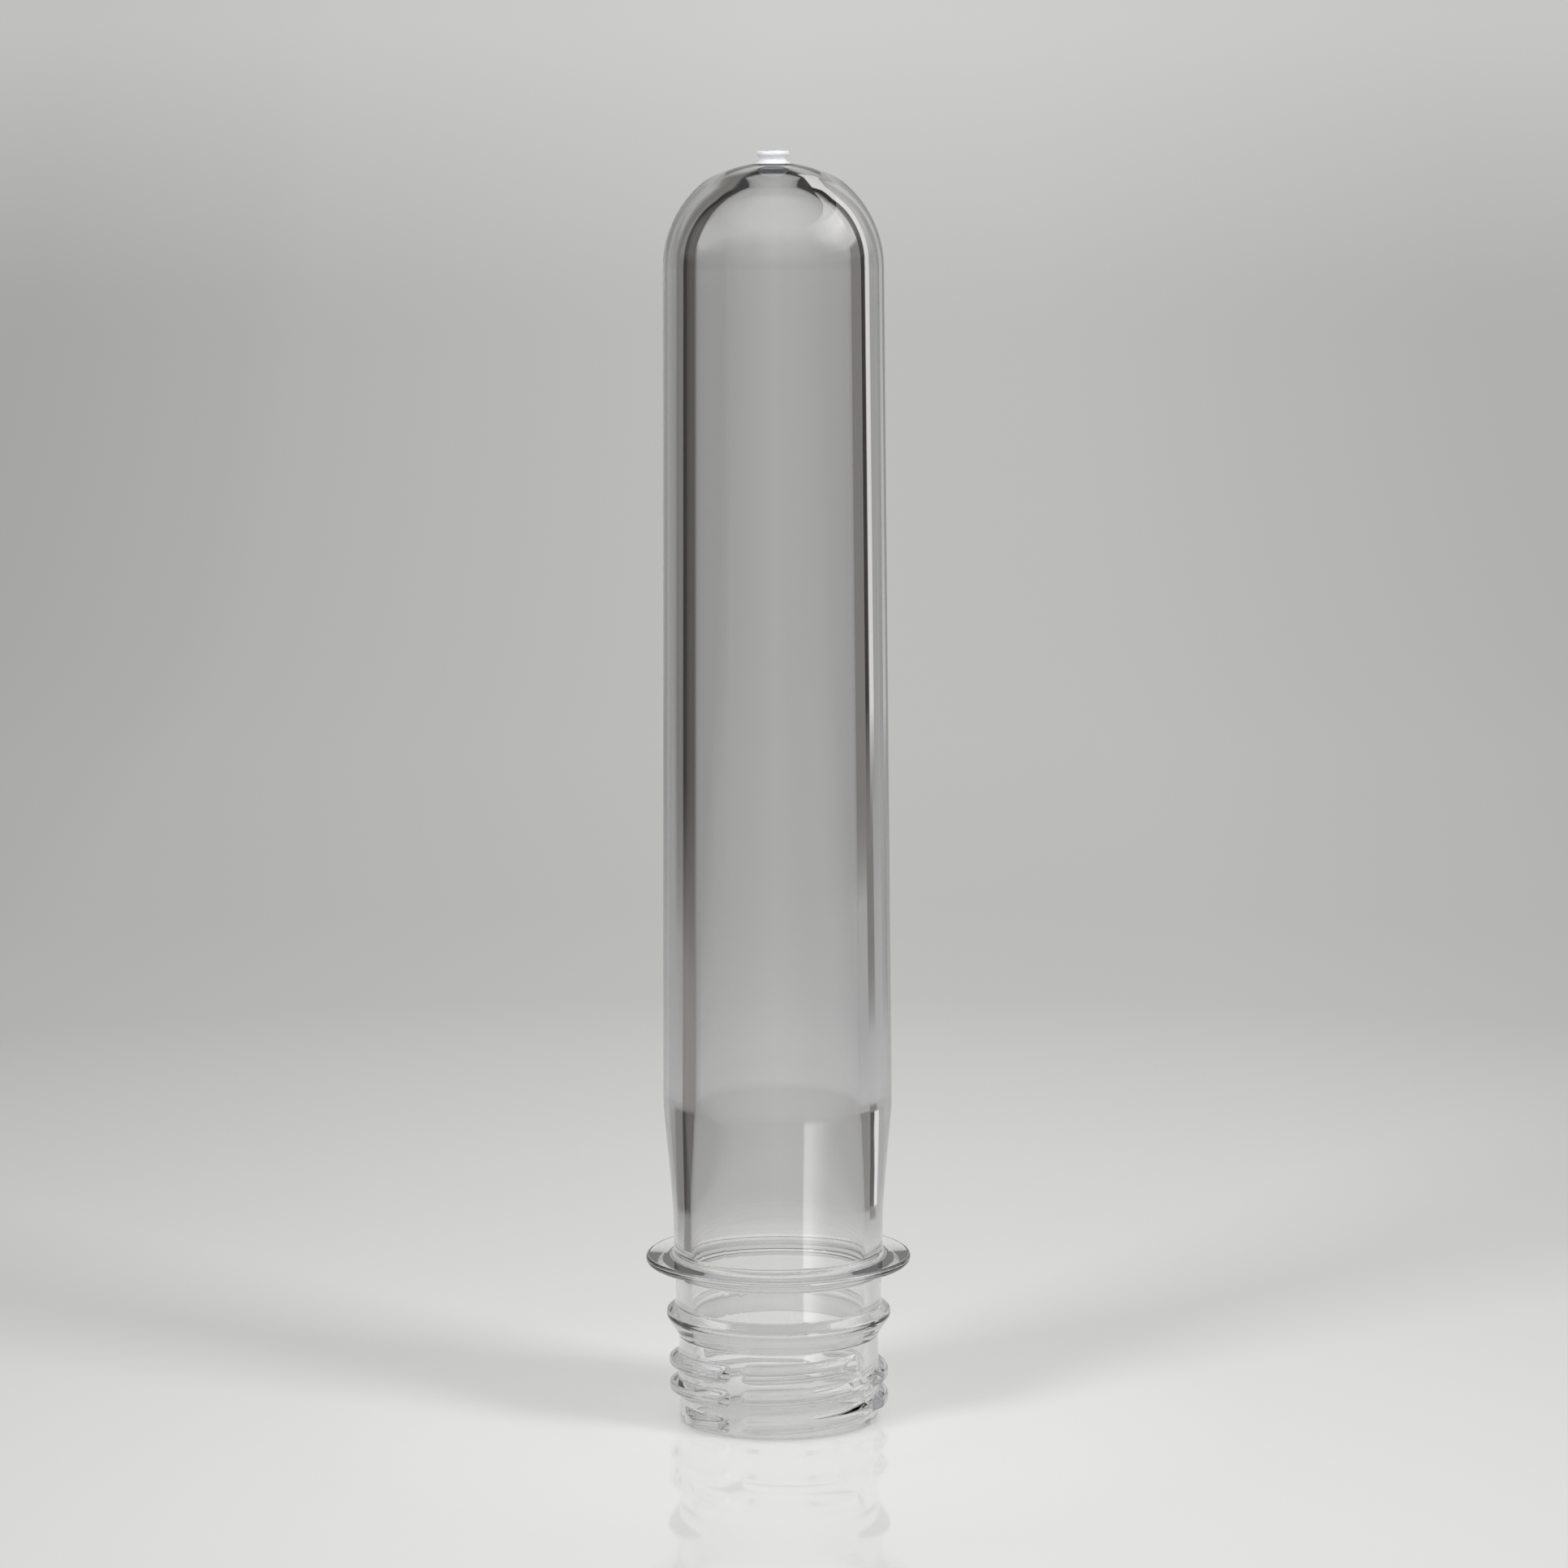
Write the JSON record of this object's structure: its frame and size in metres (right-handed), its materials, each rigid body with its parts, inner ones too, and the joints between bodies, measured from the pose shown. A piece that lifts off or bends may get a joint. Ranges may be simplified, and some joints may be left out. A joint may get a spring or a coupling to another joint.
{
  "type": "plastic bottle preform",
  "caption": "Clear moulded blank for a blown bottle: a thick-walled tube, closed by a dome with a gate stub, with a vented screw thread, tamper bead and support ring at its mouth",
  "frame": {"origin": "centre of the sealing face at the open mouth, which rests on the ground plane", "axes": "+Z runs along the axis from the mouth to the closed end; the picture was taken from -Y"},
  "size_m": [0.033, 0.033, 0.1579],
  "materials": {
    "clear_polyester": "clear and colourless, polished, with a frosted break at the gate stub"
  },
  "bodies": {
    "root": {"preform": "clear_polyester"}
  },
  "joints": []
}
